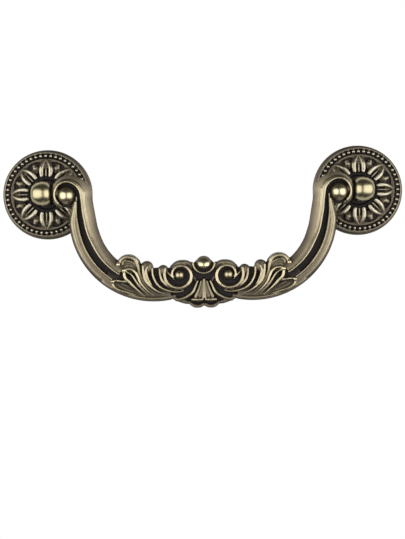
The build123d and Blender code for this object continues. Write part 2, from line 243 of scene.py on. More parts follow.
# Band that carries on the arm's curve under the leaves
band_inner_radius = 23.6
band_start = radians(50.0)
band_end = radians(101.5)
band_steps = 40
band_foot_inset = 2.4
band_side_low = 14.6
band_side_high = 16.5
band_shoulder_inset = 0.7
band_shoulder_height = 17.3
band_top = 15.6
band_rim_start = radians(52.0)
band_rim_end = radians(104.0)
band_rim_places = 12
band_rim_inset = 1.2
band_rim_crests = (17.7, 17.7, 17.7, 17.7, 17.7, 16.9)
band_rim_half_widths = (0.75, 0.75, 0.75, 0.75, 0.75, 0.55)

# Carving of the right half: x and z along each strand, its crests and its half widths
leaf_strands = (
    # uppermost lobe: its rolled outer edge and two inner folds
    (((34.2, -28.9), (33.2, -27.3), (31.8, -26.3), (30.2, -26.0), (28.6, -26.3), (27.3, -27.2), (26.5, -29.1),
      (25.8, -32.5), (24.6, -35.4), (23.1, -37.8), (21.2, -39.7), (18.8, -41.4)),
     (18.5, 18.5, 17.6, 16.8), (0.75, 0.95, 0.65, 0.5, 0.4)),
    (((32.6, -29.0), (31.9, -27.9), (30.4, -27.6), (28.6, -28.2), (27.3, -30.1), (26.7, -32.5)),
     (18.0, 18.0, 17.0), (0.4, 0.45, 0.3)),
    (((31.6, -30.0), (30.2, -29.3), (28.6, -30.0), (27.3, -32.1)), (17.5, 17.7, 16.8), (0.4, 0.5, 0.3)),
    # middle leaf: upper edge, vein and lower edge
    (((31.9, -31.1), (30.6, -30.8), (28.9, -30.9), (27.4, -32.1), (26.4, -33.9), (25.4, -36.4), (24.0, -38.3),
      (22.1, -40.2), (20.4, -41.4)), (19.0, 19.1, 18.4, 17.2), (0.5, 0.55, 0.45, 0.35)),
    (((31.0, -31.8), (28.9, -33.2), (27.4, -35.4), (26.0, -37.6), (24.2, -39.6), (22.1, -41.4)),
     (18.7, 18.3, 17.0), (0.3, 0.45, 0.3)),
    (((32.0, -31.6), (31.5, -34.2), (29.8, -36.0), (28.4, -37.6), (26.2, -39.7), (24.6, -41.1),
      (23.2, -42.0)), (19.0, 18.5, 17.2), (0.6, 0.7, 0.5, 0.35)),
    # lowest leaf: upper edge, lower edge and two veins in its hollow
    (((36.5, -35.4), (34.6, -35.35), (33.0, -35.6), (30.9, -36.0), (29.7, -36.4)), (18.4, 18.6, 18.0),
     (0.5, 0.45, 0.4)),
    (((36.5, -35.4), (36.3, -37.2), (34.7, -38.7), (31.7, -39.9), (27.9, -41.1), (24.4, -42.1)),
     (18.4, 18.2, 17.0), (0.5, 0.6, 0.4)),
    (((34.5, -37.0), (32.2, -38.4), (28.9, -39.8), (26.5, -40.9)), (17.0, 17.4, 16.7), (0.25, 0.4, 0.25)),
    (((32.8, -36.6), (31.2, -37.4), (29.6, -38.3)), (16.9, 17.1, 16.7), (0.25, 0.4, 0.2)),
    # second lobe: broad, with a rolled end
    (((24.35, -29.6), (24.2, -32.4), (23.2, -35.7), (21.2, -38.1), (18.7, -39.9), (15.8, -41.0)),
     (18.4, 18.7, 17.0), (0.4, 0.6, 0.6, 0.5)),
    (((22.4, -29.9), (23.1, -31.2), (22.9, -33.4), (22.1, -35.6), (20.6, -37.9), (18.8, -39.4)),
     (18.3, 18.5, 17.2), (0.4, 0.6, 0.5, 0.3)),
    # thin ridge between the second and the third lobe
    (((20.6, -30.6), (20.5, -33.0), (19.7, -35.4), (18.3, -37.4), (16.4, -38.9), (13.5, -39.9), (10.1, -40.2),
      (8.4, -39.8)), (18.2, 18.4, 17.4), (0.4, 0.5, 0.4)),
    # third lobe
    (((17.7, -31.0), (17.5, -33.4), (16.3, -36.2), (13.9, -38.3), (10.6, -39.2)), (18.0, 18.5, 17.2),
     (0.35, 0.6, 0.45)),
    (((16.0, -31.6), (15.9, -33.6), (14.9, -36.0), (13.0, -37.6)), (18.0, 18.5, 17.8), (0.35, 0.65, 0.4)),
    # rim of the leaf behind the volute
    (((5.0, -30.0), (6.4, -28.9), (8.6, -28.6), (10.8, -29.0), (12.6, -30.4)), (16.8, 17.6, 16.8),
     (0.8, 0.95, 0.8)),
    (((12.0, -35.2), (13.1, -33.8), (14.3, -32.5)), (18.0, 18.2, 17.8), (0.2, 0.3, 0.3)),
    # leaf beside the fan, which sweeps out over the skirt
    (((2.5, -36.0), (3.4, -38.0), (4.4, -40.2), (6.2, -41.8), (8.6, -42.9), (11.0, -43.4)),
     (18.0, 18.1, 17.2), (0.35, 0.62, 0.6)),
    (((5.8, -44.5), (7.2, -44.35), (9.7, -43.5), (12.0, -42.7)), (16.6, 17.3, 16.9), (0.6, 0.9, 0.6)),
    # toe under the fan: a bar and a rolled lip
    (((0.95, -43.35), (2.6, -43.4), (4.6, -43.35)), (18.1, 18.3, 18.0), (0.66, 0.78, 0.6)),
    (((0.5, -45.3), (1.3, -45.75), (2.5, -46.05), (3.8, -45.85), (5.0, -45.2), (5.9, -44.4)),
     (17.2, 17.4, 16.8), (0.6, 0.7, 0.5)),
    # fan ribs
    (((1.2, -36.0), (2.0, -38.8), (3.4, -42.1)), (17.6, 17.9), (0.3, 0.66)),
    (((0.66, -36.4), (1.05, -39.4), (1.85, -42.1)), (17.2, 17.5), (0.28, 0.64)),
    # cheek of the crown beside the bead
    (((4.9, -29.0), (5.2, -31.6), (4.2, -34.2), (3.2, -36.0)), (16.6, 16.9, 16.8), (0.5, 0.7, 0.5)),
)
middle_strands = (
    (((0.0, -35.4), (0.0, -39.0), (0.0, -42.4)), (17.7, 18.1), (0.6, 1.1)),
)
leaf_tips = (
    # x and z of a curled tip, its radius and how high it stands
    (34.2, -28.9, 0.95, 19.2),
    (32.0, -31.4, 0.85, 19.3),
    (36.5, -35.7, 0.75, 18.8),
)
leaf_ground = (
    # outline of the ground under the leaves, x and z
    (36.6, -27.8), (34.8, -29.4), (33.0, -27.4), (30.4, -26.1), (27.4, -26.9), (25.6, -28.9), (24.2, -28.7),
    (22.2, -28.8), (20.2, -30.6), (18.2, -30.4), (16.3, -29.9), (14.2, -30.6), (12.6, -30.6), (10.8, -29.2),
    (8.6, -28.7), (6.4, -29.0), (4.8, -30.2), (3.6, -32.0), (-0.6, -32.0), (-0.6, -44.9), (2.5, -45.9),
    (4.9, -45.2), (9.7, -43.9), (12.6, -42.6), (19.8, -43.1), (26.0, -42.4), (31.5, -40.2), (36.5, -36.6),
    (38.5, -33.0),
)
leaf_ground_top = 15.6
leaf_ground_bevel = 0.5
ridge_flanks = (
    # how much lower and wider each layer of a strand's flanks is
    (0.7, 0.12),
    (1.5, 0.24),
)
lobe_ends = (
    # x and z of the middle, radius, height of the top: rolled ends of the second and the third lobe
    (22.9, -30.2, 2.5, 17.7),
    (16.4, -31.6, 2.2, 17.6),
)
lobe_end_rise = 1.2
leaf_swell_rise = 2.0
leaf_swell = (
    # x and z of the middle, radius, height of the top: low domes that lift the ground between the strands
    (29.4, -29.6, 4.3, 17.4),
    (28.4, -34.6, 4.4, 16.4),
    (32.0, -37.4, 3.6, 16.0),
    (23.6, -33.4, 3.6, 16.3),
    (18.6, -37.0, 4.6, 16.2),
    (1.0, -39.6, 4.0, 16.2),
)
volute_x = 9.8
volute_z = -33.5
volute_angles = (-19, 384)
volute_radii = (2.75, 3.5, 4.8, 5.15, 6.2)
volute_crests = (18.4, 18.8, 18.3)
volute_half_widths = (0.45, 0.55, 0.75, 0.6, 0.65)
volute_eye_radius = 2.1
volute_eye_height = 16.4
bead_x = 0.0
crown_bead_z = -28.5
crown_bead_radius = 3.0
crown_bead_height = 16.9
crown_bead_flatten = 0.64
crown_bead_lean = radians(-42.0)
crown_cup_z = -31.3
crown_cup_radius = 4.7
crown_cup_top = 15.4
crown_ring_angles = (-100, -4)
crown_ring_step = 12
crown_ring_radius = 4.35
crown_ring_crest = 18.2
crown_ring_half_width = 0.4

# Reach of the patina, as the number of smoothing rounds and the height in millimetres that counts as full
fine_rounds = 10
fine_reach = 0.16
depth_rounds = 400
# The bail's last entry is the distance along X beyond which its points are held low: painted shade next to
# the post.
bail_depth = dict(reach=1.4, ground=15.0, side_height=17.2, middle_height=17.2, painted_shade_x=59.9)
rosette_depth = dict(reach=1.2, ground=3.4, side_height=5.9, middle_height=6.3)
# Low depth for the bail's points next to the post: painted shade between the scroll and the post, with patina
# that rubbing misses there.
painted_shade_level = 0.1
no_painted_shade = 1000.0
wall_facing = 0.6
post_dull_height = 6.0
post_rubbed_reach = 8.0
post_dull_level = 0.1

# Finishes: colours, how far each kind of piece is rubbed bright, and weights. A span is where a change
# starts and ends, and the values there if they aren't 0 and 1. A texture is its scale and its detail.
patina_brown = (0.022, 0.018, 0.018)
tarnish_olive = (0.205, 0.17, 0.115)
bail_brass = (0.76, 0.665, 0.43)
bail_rubbing = 0.0
rosette_brass = (0.80, 0.74, 0.57)
rosette_rubbing = 0.1
post_brass = (0.52, 0.46, 0.28)
post_rubbing = 0.25
steel_dark = (0.40, 0.39, 0.37)
steel_light = (0.52, 0.51, 0.49)
depth_weight = 2.0
edge_weight = 0.5
cloud_weight = 0.22
tarnish_span = (-0.45, 0.15)
brass_span = (0.05, 1.0)
roughness_span = (-0.2, 0.8, 0.46, 0.27)
metal_span = (-0.3, 0.3, 0.75, 1.0)
steel_roughness_span = (0.2, 0.8, 0.28, 0.42)
cloud_texture = (260.0, 3.0)
grain_texture = (2600.0, 2.0)
steel_texture = (900.0, 2.0)
grain_roughness = 0.05
grain_strength = 0.12
grain_depth = 0.00004

# Studio, in metres and watts, with the lens and its sensor in millimetres
floor_size = 0.22
floor_height = -1.3
paper_color = (0.82, 0.82, 0.80)
paper_roughness = 0.9
lamp_side = 0.424
lamp_height = -0.04
lamp_size = (0.80, 0.75)
lamp_power = 3.5
lamp_target = (0, 0, -0.01)
room_light = 0.55
room_above_span = (0.1, 0.6, 0.16, 0.02)
room_behind_span = (0.0, 0.45, 0.0, 0.9)
camera_distance = 0.500
camera_side = -0.00037
camera_height = -0.020
camera_roll = radians(0.85)
camera_lens = 80.6
camera_sensor = 36.0
camera_clip = 0.01
camera_shift = -0.053


def new_object(name, data):
    """Object in the scene that holds the data."""
    piece = bpy.data.objects.new(name, data)
    bpy.context.scene.collection.objects.link(piece)
    return piece


def object_from(name, built):
    """Object that holds a finished bmesh."""
    mesh = bpy.data.meshes.new(name)
    built.to_mesh(mesh)
    built.free()
    return new_object(name, mesh)


def baked(piece):
    """Plain object in the piece's place, with the shape that its curve or modifiers give."""
    bpy.context.view_layer.update()
    shape = piece.evaluated_get(bpy.context.evaluated_depsgraph_get())
    mesh = bpy.data.meshes.new_from_object(shape)
    name = piece.name
    bpy.data.objects.remove(piece)
    return new_object(name, mesh)


def joined(name, parts):
    """One object from several, whose solids may overlap."""
    built = bmesh.new()
    for part in parts:
        built.from_mesh(part.data)
        bpy.data.objects.remove(part)
    return object_from(name, built)


def shift(built, by):
    """Moves all that is built."""
    bmesh.ops.translate(built, vec=by, verts=built.verts)


def ball(x, z, height, radius, flatten=1.0, lean=0.0):
    """Ball; flatten squeezes it towards the drawer front, and a lean below zero turns its face up."""
    built = bmesh.new()
    bmesh.ops.create_uvsphere(built, u_segments=ball_sides, v_segments=ball_rings, radius=radius)
    bmesh.ops.scale(built, vec=(1, flatten, 1), verts=built.verts)
    bmesh.ops.rotate(built, matrix=Matrix.Rotation(lean, 3, "X"), verts=built.verts)
    shift(built, (x, -height, z))
    return object_from("ball", built)


def round_bar(name, sides, radius, length, axis, middle):
    """Round bar round a middle point, turned away from Z by a quarter turn about an axis."""
    built = bmesh.new()
    bmesh.ops.create_cone(
        built, cap_ends=True, segments=sides, radius1=radius, radius2=radius, depth=length
    )
    bmesh.ops.rotate(built, matrix=Matrix.Rotation(pi / 2, 3, axis), verts=built.verts)
    shift(built, middle)
    return object_from(name, built)


def disc(x, z, radius, low, high):
    """Round plate between two heights."""
    return round_bar("disc", disc_sides, radius, high - low, "X", (x, -(low + high) / 2, z))


def block(width, low, high):
    """Square block on the middle line of a post, between two heights."""
    built = bmesh.new()
    bmesh.ops.create_cube(built, size=1.0)
    bmesh.ops.scale(built, vec=(width, high - low, width), verts=built.verts)
    shift(built, (0, -(low + high) / 2, 0))
    return object_from("block", built)


def crossbar(start_x, end_x, radius):
    """Round bar along the hinge line."""
    middle = ((start_x + end_x) / 2, -hinge_height, 0)
    return round_bar("crossbar", bar_sides, radius, end_x - start_x, "Y", middle)


def slab(outline, low, high, edge):
    """Plate between two heights over an outline of x and z, with its front edge rounded off."""
    built = bmesh.new()
    corners = [built.verts.new((x, -low, z)) for x, z in outline]
    base = built.faces.new(corners)
    raised = bmesh.ops.extrude_face_region(built, geom=[base])["geom"]
    front = [part for part in raised if isinstance(part, bmesh.types.BMVert)]
    bmesh.ops.translate(built, vec=(0, low - high, 0), verts=front)
    rim = [part for part in raised if isinstance(part, bmesh.types.BMEdge)]
    bmesh.ops.bevel(
        built,
        geom=rim,
        offset=edge,
        segments=bevel_steps,
        profile=0.5,
        affect="EDGES",
        material=-1,
        clamp_overlap=True,
    )
    bmesh.ops.recalc_face_normals(built, faces=built.faces)
    return object_from("slab", built)


def closed_loop(built, corners):
    """Edges that run from corner to corner and back to the first."""
    return [built.edges.new((corners[index - 1], corner)) for index, corner in enumerate(corners)]


def bridge(built, loops):
    """Walls from each loop of edges to the next, with both ends closed."""
    for loop, next_loop in zip(loops, loops[1:]):
        bmesh.ops.bridge_loops(built, edges=loop + next_loop)
    bmesh.ops.holes_fill(built, edges=loops[0] + loops[-1])


def spin_round(built, axis, steps):
    """Turns a half section all the way round an axis."""
    bmesh.ops.spin(
        built,
        geom=built.verts[:] + built.edges[:],
        cent=(0, 0, 0),
        axis=axis,
        angle=2 * pi,
        steps=steps,
        use_merge=True,
    )
    bmesh.ops.remove_doubles(built, verts=built.verts, dist=merge_distance)
    bmesh.ops.recalc_face_normals(built, faces=built.faces)


def turned(section):
    """Ring or disc turned round the post's middle line from the radius and height of its half section."""
    built = bmesh.new()
    closed_loop(built, [built.verts.new((radius, -height, 0)) for radius, height in section])
    spin_round(built, (0, 1, 0), turned_steps)
    return object_from("turned", built)


def repeated(part, count, turn=0.0):
    """The part and its copies, evenly spaced round the post's middle line."""
    built = bmesh.new()
    built.from_mesh(part.data)
    bpy.data.objects.remove(part)
    bmesh.ops.rotate(built, matrix=Matrix.Rotation(turn, 3, "Y"), verts=built.verts)
    bmesh.ops.spin(
        built,
        geom=built.verts[:] + built.edges[:] + built.faces[:],
        cent=(0, 0, 0),
        axis=(0, 1, 0),
        angle=2 * pi * (count - 1) / count,
        steps=count - 1,
        use_duplicate=True,
    )
    return object_from("repeated", built)


def graded(line, crests, half_widths):
    """Places along a strand: x, z, crest and half width, which change along its length."""
    steps = [0.0]
    for (x, z), (next_x, next_z) in zip(line, line[1:]):
        steps.append(steps[-1] + ((next_x - x) ** 2 + (next_z - z) ** 2) ** 0.5)
    shares = np.array(steps) / steps[-1]
    tall = np.interp(shares, np.linspace(0, 1, len(crests)), crests)
    wide = np.interp(shares, np.linspace(0, 1, len(half_widths)), half_widths)
    return [(x, z, float(crest), float(width)) for (x, z), crest, width in zip(line, tall, wide)]


def strands(lines):
    """Round strands with domed ends, each along its own smooth line of places."""
    curve = bpy.data.curves.new("strands", "CURVE")
    curve.dimensions = "3D"
    curve.bevel_depth = 1.0
    curve.bevel_resolution = strand_bevel_steps
    curve.resolution_u = strand_steps
    curve.use_fill_caps = True
    parts = []
    for places in lines:
        spline = curve.splines.new("BEZIER")
        spline.bezier_points.add(len(places) - 1)
        for point, (x, z, crest, half_width) in zip(spline.bezier_points, places):
            point.co = (x, half_width - crest, z)
            point.radius = half_width
            point.handle_left_type = point.handle_right_type = "AUTO"
        for x, z, crest, half_width in (places[0], places[-1]):
            parts.append(ball(x, z, crest - half_width, half_width))
    parts.append(baked(new_object("strands", curve)))
    return parts


def ridges(lines):
    """Strands that widen down their flanks, so that they stand on the ground."""
    parts = strands(lines)
    for lower, wider in ridge_flanks:
        flanks = []
        for line in lines:
            flanks.append([(x, z, crest - lower, half_width + wider) for x, z, crest, half_width in line])
        parts += strands(flanks)
    return parts


def spiral(x, z, angles, radii, turn_step=spiral_step):
    """Line round a centre, from one angle in degrees to another, with radii evenly spaced along it."""
    count = 1 + round(abs(angles[1] - angles[0]) / turn_step)
    line = []
    along = np.interp(np.linspace(0, 1, count), np.linspace(0, 1, len(radii)), radii)
    for angle, radius in zip(np.linspace(*angles, count), along):
        line.append((float(x + radius * cos(radians(angle))), float(z + radius * sin(radians(angle)))))
    return line


def ease(piece, rounds):
    """Smooths the piece's surface, in rounds."""
    easing = piece.modifiers.new("easing", "SMOOTH")
    easing.factor = 0.5
    easing.iterations = rounds


def cast(name, parts, voxel):
    """One skin over all the solids, eased as a casting is."""
    piece = joined(name, parts)
    skin = piece.modifiers.new("skin", "REMESH")
    skin.mode = "VOXEL"
    skin.voxel_size = voxel
    ease(piece, skin_easing)
    return baked(piece)


def cut(piece, tool):
    """The piece with the tool's shape taken out of it."""
    opening = piece.modifiers.new("opening", "BOOLEAN")
    opening.operation = "DIFFERENCE"
    opening.solver = "EXACT"
    opening.object = tool
    result = baked(piece)
    bpy.data.objects.remove(tool)
    return result


def points_of(piece, what="co"):
    """Places of the piece's points, or their normals, one row each."""
    values = np.empty(len(piece.data.vertices) * 3, dtype=np.float32)
    piece.data.vertices.foreach_get(what, values)
    return values.reshape(-1, 3)


def eased_points(piece, places, rounds):
    """Places of the piece's points once they are set to other places and smoothed, in rounds."""
    copy = new_object("eased", piece.data.copy())
    copy.data.vertices.foreach_set("co", places.ravel())
    ease(copy, rounds)
    copy = baked(copy)
    eased = points_of(copy)
    bpy.data.objects.remove(copy)
    return eased


def keep_inside(piece, low, high):
    """Presses the few points that a skin leaves outside the CAD solid's box back on to it."""
    places = np.clip(points_of(piece), np.array(low), np.array(high))
    piece.data.vertices.foreach_set("co", places.astype(np.float32).ravel())
    piece.data.update()


def store(piece, name, values):
    """Keeps one value for each point, from 0 to 1, under a name that the finish reads."""
    attribute = piece.data.attributes.new(name, "FLOAT", "POINT")
    attribute.data.foreach_set("value", np.clip(values, 0, 1).astype(np.float32))


def mark_edges(piece):
    """Stores how sharply each point stands out: 0 in a crease, 1 on an edge."""
    places = points_of(piece)
    smooth = eased_points(piece, places, fine_rounds)
    proud = ((places - smooth) * points_of(piece, "normal")).sum(axis=1)
    store(piece, "edges", 0.5 + proud / (2 * fine_reach))


def mark_depth(piece, reach, ground, side_height, middle_height, painted_shade_x=no_painted_shade):
    """Stores how high each point stands against those around it and a middle height: 0 in a hollow, 1 on
    a ridge. Points below the ground are the piece's sides and back, which count as side_height, and steep
    walls come near to it. Beyond a given distance along X, next to the post, points get a fixed low level:
    painted shade between the scroll and the post, with patina that rubbing misses there."""
    places = points_of(piece)
    facing = np.abs(points_of(piece, "normal")[:, 1])
    steep = np.clip((wall_facing - facing) / wall_facing, 0, 1)
    heights = np.where(-places[:, 1] < ground, side_height, -places[:, 1])
    heights += steep * np.maximum(side_height - heights, 0)
    lengths = np.zeros((len(heights), 3), dtype=np.float32)
    lengths[:, 0] = heights
    around = (eased_points(piece, lengths, depth_rounds)[:, 0] + middle_height) / 2
    level = 0.5 + (heights - around) / (2 * reach)
    # Points next to the post are held low: painted shade between the scroll and the post, with patina that
    # rubbing misses.
    store(piece, "depth", np.where(np.abs(places[:, 0]) > painted_shade_x, painted_shade_level, level))


def finished(piece, body, nodes, finish):
    """Scales a piece to metres, gives it its finish and lets it stand for its CAD node."""
    piece.data.transform(Matrix.Scale(metres, 4))
    for polygon in piece.data.polygons:
        polygon.use_smooth = True
    piece.data.materials.clear()
    piece.data.materials.append(finish)
    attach(piece, body)
    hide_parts(*nodes)
    return piece


# Arm and scroll


def arm_place(across, down):
    """x and z of a place on the arm: across it, and down along its middle line from the scroll."""
    if down < arm_straight:
        x = arm_top_x - down * sin(arm_lean) + across * cos(arm_lean)
        return x, -down * cos(arm_lean) - across * sin(arm_lean)
    angle = arm_lean + (down - arm_straight) / arm_radius
    radius = arm_radius + across
    return arm_center_x + radius * cos(angle), -arm_drop - radius * sin(angle)


def arm_length():
    """Length of the arm's middle line, from the scroll down to the leaves."""
    return arm_straight + (arm_end - arm_lean) * arm_radius


def arm_strand(downs, acrosses, crests, half_widths):
    """Rib along the arm, down to the leaves, which shifts and widens on its way."""
    places = []
    for down in np.linspace(downs[0], arm_length(), arm_rib_places):
        across, crest, half_width = [
            float(np.interp(down, downs, values)) for values in (acrosses, crests, half_widths)
        ]
        x, z = arm_place(across, float(down))
        places.append((x, z, crest, half_width))
    return places


def swept(section, angle_from, angle_to, steps):
    """Solid that follows the arm's arc, from the across and height of each corner of its section."""
    built = bmesh.new()
    corners = []
    for across, height in section:
        radius = arm_radius + across
        corners.append(built.verts.new((arm_center_x + radius, -height, -arm_drop)))
    face = built.faces.new(corners)
    center = (arm_center_x, 0, -arm_drop)
    turn = Matrix.Rotation(angle_from, 3, "Y")
    bmesh.ops.rotate(built, cent=center, matrix=turn, verts=built.verts)
    bmesh.ops.spin(
        built, geom=[face], cent=center, axis=(0, 1, 0), angle=angle_to - angle_from, steps=steps
    )
    bmesh.ops.recalc_face_normals(built, faces=built.faces)
    return object_from("swept", built)


def arm_body():
    """Fluted arm, whose section widens on its way down and is cut back beside the scroll."""
    built = bmesh.new()
    loops = []
    for down in np.linspace(0.0, arm_length(), arm_loops):
        share = min(1.0, float(down) / arm_section_ease)
        corners = []
        for top_across, top_height, low_across, low_height in arm_section:
            x, z = arm_place(top_across + share * (low_across - top_across), float(down))
            corners.append(built.verts.new((x, -top_height - share * (low_height - top_height), z)))
        loops.append(closed_loop(built, corners))
    bridge(built, loops)
    (top_x, top_z), (low_x, low_z) = arm_shoulder
    outwards = Vector((top_z - low_z, 0, low_x - top_x))
    cutting = built.verts[:] + built.edges[:] + built.faces[:]
    bmesh.ops.bisect_plane(
        built, geom=cutting, plane_co=(top_x, 0, top_z), plane_no=outwards, clear_outer=True
    )
    bmesh.ops.holes_fill(built, edges=built.edges)
    bmesh.ops.recalc_face_normals(built, faces=built.faces)
    return object_from("arm body", built)


def scroll_slope():
    """Broad slope of the scroll, which falls from its lip to its outer edge and narrows as it winds."""
    built = bmesh.new()
    angles, *columns = zip(*scroll_turns[::-1])
    loops = []
    for angle in np.linspace(angles[-1], angles[0], scroll_loops):
        outer, crest_radius, lip, edge_height, crest = [
            float(np.interp(angle, angles, column)) for column in columns
        ]
        section = (
            (lip - scroll_wall, plate_back),
            (lip - scroll_lip_setback, crest - scroll_lip_drop),
            (crest_radius, crest),
            (outer, edge_height),
            (outer, plate_back),
        )
        corners = []
        for radius, height in section:
            x = eye_x + radius * cos(radians(angle))
            corners.append(built.verts.new((x, -height, eye_z + radius * sin(radians(angle)))))
        loops.append(closed_loop(built, corners))
    bridge(built, loops)
    bmesh.ops.recalc_face_normals(built, faces=built.faces)
    return object_from("scroll slope", built)


def scroll_parts():
    """Scroll end: slope and lip that wind round the eye ball, and the boss that meets the post."""
    parts = [scroll_slope()]
    parts.append(disc(eye_x, eye_z, lug_radius, plate_back, scroll_floor))
    parts.append(ball(eye_x, eye_z, eye_height, eye_radius))
    parts.append(crossbar(boss_end_x - boss_length, boss_end_x, boss_radius))
    crest = [arm_place(scroll_crest_across, scroll_start)]
    lip = [arm_place(scroll_lip_across, scroll_start)]
    for angle, _, crest_radius, lip_radius, _, _ in scroll_turns[1:-1]:
        along = Vector((cos(radians(angle)), sin(radians(angle))))
        crest.append(tuple(Vector((eye_x, eye_z)) + crest_radius * along))
        lip.append(tuple(Vector((eye_x, eye_z)) + lip_radius * along))
    lines = [graded(crest, scroll_crests, scroll_crest_half_widths)]
    lines.append(graded(lip, scroll_lip_crests, scroll_lip_half_widths))
    return parts + strands(lines)


def arm_parts():
    """Fluted arm with its ribs."""
    return [arm_body()] + strands([arm_strand(*rib) for rib in arm_ribs])


# Carved middle


def band_parts():
    """Band under the leaves, with a rounded rim along its lower edge."""
    inner = band_inner_radius - arm_radius
    outer = arm_outer_radius - arm_radius
    section = (
        (inner, plate_back),
        (outer - band_foot_inset, plate_back),
        (outer, band_side_low),
        (outer, band_side_high),
        (outer - band_shoulder_inset, band_shoulder_height),
        (inner, band_top),
    )
    band = swept(section, band_start, band_end, band_steps)
    start = arm_straight + (band_rim_start - arm_lean) * arm_radius
    end = arm_straight + (band_rim_end - arm_lean) * arm_radius
    downs = np.linspace(start, end, band_rim_places)
    rim = [arm_place(outer - band_rim_inset, float(down)) for down in downs]
    return [band] + strands([graded(rim, band_rim_crests, band_rim_half_widths)])


def swell(x, z, radius, top, rise=leaf_swell_rise):
    """Low dome that lifts the ground between the strands, with its rise from the rim to the top."""
    return ball(x, z, top - rise, radius, flatten=rise / radius)


def leaf_parts():
    """Ground of the leaves, its low domes and the carved strands."""
    parts = [slab(leaf_ground, plate_back, leaf_ground_top, leaf_ground_bevel)]
    parts += [swell(*dome) for dome in leaf_swell]
    for x, z, radius, top in lobe_ends:
        parts.append(swell(x, z, radius, top, lobe_end_rise))
        parts.append(disc(x, z, radius, plate_back, top - lobe_end_rise))
    parts += [ball(x, z, crest - radius, radius) for x, z, radius, crest in leaf_tips]
    return parts + ridges([graded(*strand) for strand in leaf_strands + middle_strands])


def volute_parts():
    """Volute: a ring that winds out from its ball."""
    ring = spiral(volute_x, volute_z, volute_angles, volute_radii)
    parts = [ball(volute_x, volute_z, volute_eye_height, volute_eye_radius)]
    return parts + ridges([graded(ring, volute_crests, volute_half_widths)])


def crown_parts():
    """Crown bead in its cup, with the fine ring under it."""
    bead = ball(
        bead_x, crown_bead_z, crown_bead_height, crown_bead_radius, crown_bead_flatten, crown_bead_lean
    )
    cup = disc(bead_x, crown_cup_z, crown_cup_radius, plate_back, crown_cup_top)
    radii = (crown_ring_radius,) * 2
    arc = spiral(bead_x, crown_bead_z, crown_ring_angles, radii, crown_ring_step)
    ring = graded(arc, (crown_ring_crest,) * 2, (crown_ring_half_width,) * 2)
    return [bead, cup] + strands([ring])


def thinned(piece, mirrored=False):
    """Piece with fewer triangles where it is plain, at most as many as a piece may have."""
    thin = piece.modifiers.new("thin", "DECIMATE")
    thin.ratio = min(1.0, most_triangles / (2 * len(piece.data.polygons)))
    thin.use_symmetry = mirrored
    thin.symmetry_axis = "X"
    return baked(piece)


def make_bail(finish):
    """The bail: its right half is cast, mirrored and thinned where it is plain."""
    parts = arm_parts() + scroll_parts() + band_parts() + leaf_parts() + volute_parts() + crown_parts()
    half = cast("bail", parts, bail_voxel)
    built = bmesh.new()
    built.from_mesh(half.data)
    bpy.data.objects.remove(half)
    cutting = built.verts[:] + built.edges[:] + built.faces[:]
    bmesh.ops.bisect_plane(built, geom=cutting, plane_co=(0, 0, 0), plane_no=(1, 0, 0), clear_inner=True)
    whole = built.verts[:] + built.edges[:] + built.faces[:]
    bmesh.ops.mirror(built, geom=whole, axis="X", merge_dist=mirror_distance)
    bmesh.ops.remove_doubles(built, verts=built.verts, dist=merge_distance)
    bmesh.ops.recalc_face_normals(built, faces=built.faces)
    piece = object_from("carved_bail", built)
    keep_inside(piece, bail_low, bail_high)
    bore = (boss_end_x - pin_seat_depth, boss_end_x + overcut)
    piece = cut(piece, crossbar(bore[0], bore[1], pin_radius))
    piece = cut(piece, crossbar(-bore[1], -bore[0], pin_radius))
    mark_edges(piece)
    mark_depth(piece, **bail_depth)
    return finished(thinned(piece, True), "swing_handle", ["bail"], finish)


# Rosette


def rosette_blank():
    """Turned blank of the rosette, hollow behind, with the post's square hole."""
    blank = turned(
        (
            (middle_hole_radius, 0.0),
            (hub_radius, 0.0),
            (hub_radius, hollow_height),
            (hollow_radius, hollow_height),
            (hollow_radius, 0.0),
            (rosette_radius, 0.0),
            (rosette_radius, rim_height - rim_chamfer),
            (rosette_radius - rim_chamfer, rim_height),
            (lip_outer_radius + lip_draft, rim_height + lip_round),
            (lip_outer_radius + lip_draft, lip_height - lip_round),
            (lip_outer_radius - lip_chamfer, lip_height),
            (lip_inner_radius, lip_height),
            (lip_inner_radius - lip_draft, channel_floor),
            (ledge_outer_radius, channel_floor),
            (ledge_outer_radius - ledge_slope, field_height),
            (recess_radius, field_height),
            (recess_radius, seat_height),
            (middle_hole_radius, seat_height),
        )
    )
    return cut(blank, block(shank_width + shank_play, -overcut, seat_height + overcut))


def scalloped_ledge():
    """Raised ledge inside the beads, cut back in a scallop between each two petals."""
    ring = turned(
        (
            (ledge_inner_radius, field_height - overlap),
            (ledge_outer_radius, field_height - overlap),
            (ledge_outer_radius, ledge_height),
            (ledge_inner_radius, ledge_height - ledge_slope),
        )
    )
    scallop = disc(scallop_center, 0, scallop_radius, field_height - overcut, ledge_height + overcut)
    return cut(ring, repeated(scallop, petal_count, pi / petal_count))


def petal():
    """One petal along x: two plump lobes that lean together at the tip, with a thin vein in the slot."""
    lines = []
    for side in (1, -1):
        lobe = [(along, side * away) for along, away in petal_lobe]
        lines.append(graded(lobe, petal_crests, petal_half_widths))
    lines.append(graded(*petal_vein))
    return joined("petal", strands(lines))


def leaf_point():
    """End of a broad leaf along x, which shows between two petals."""
    return joined("leaf point", strands([graded(*leaf_point_strand)]))


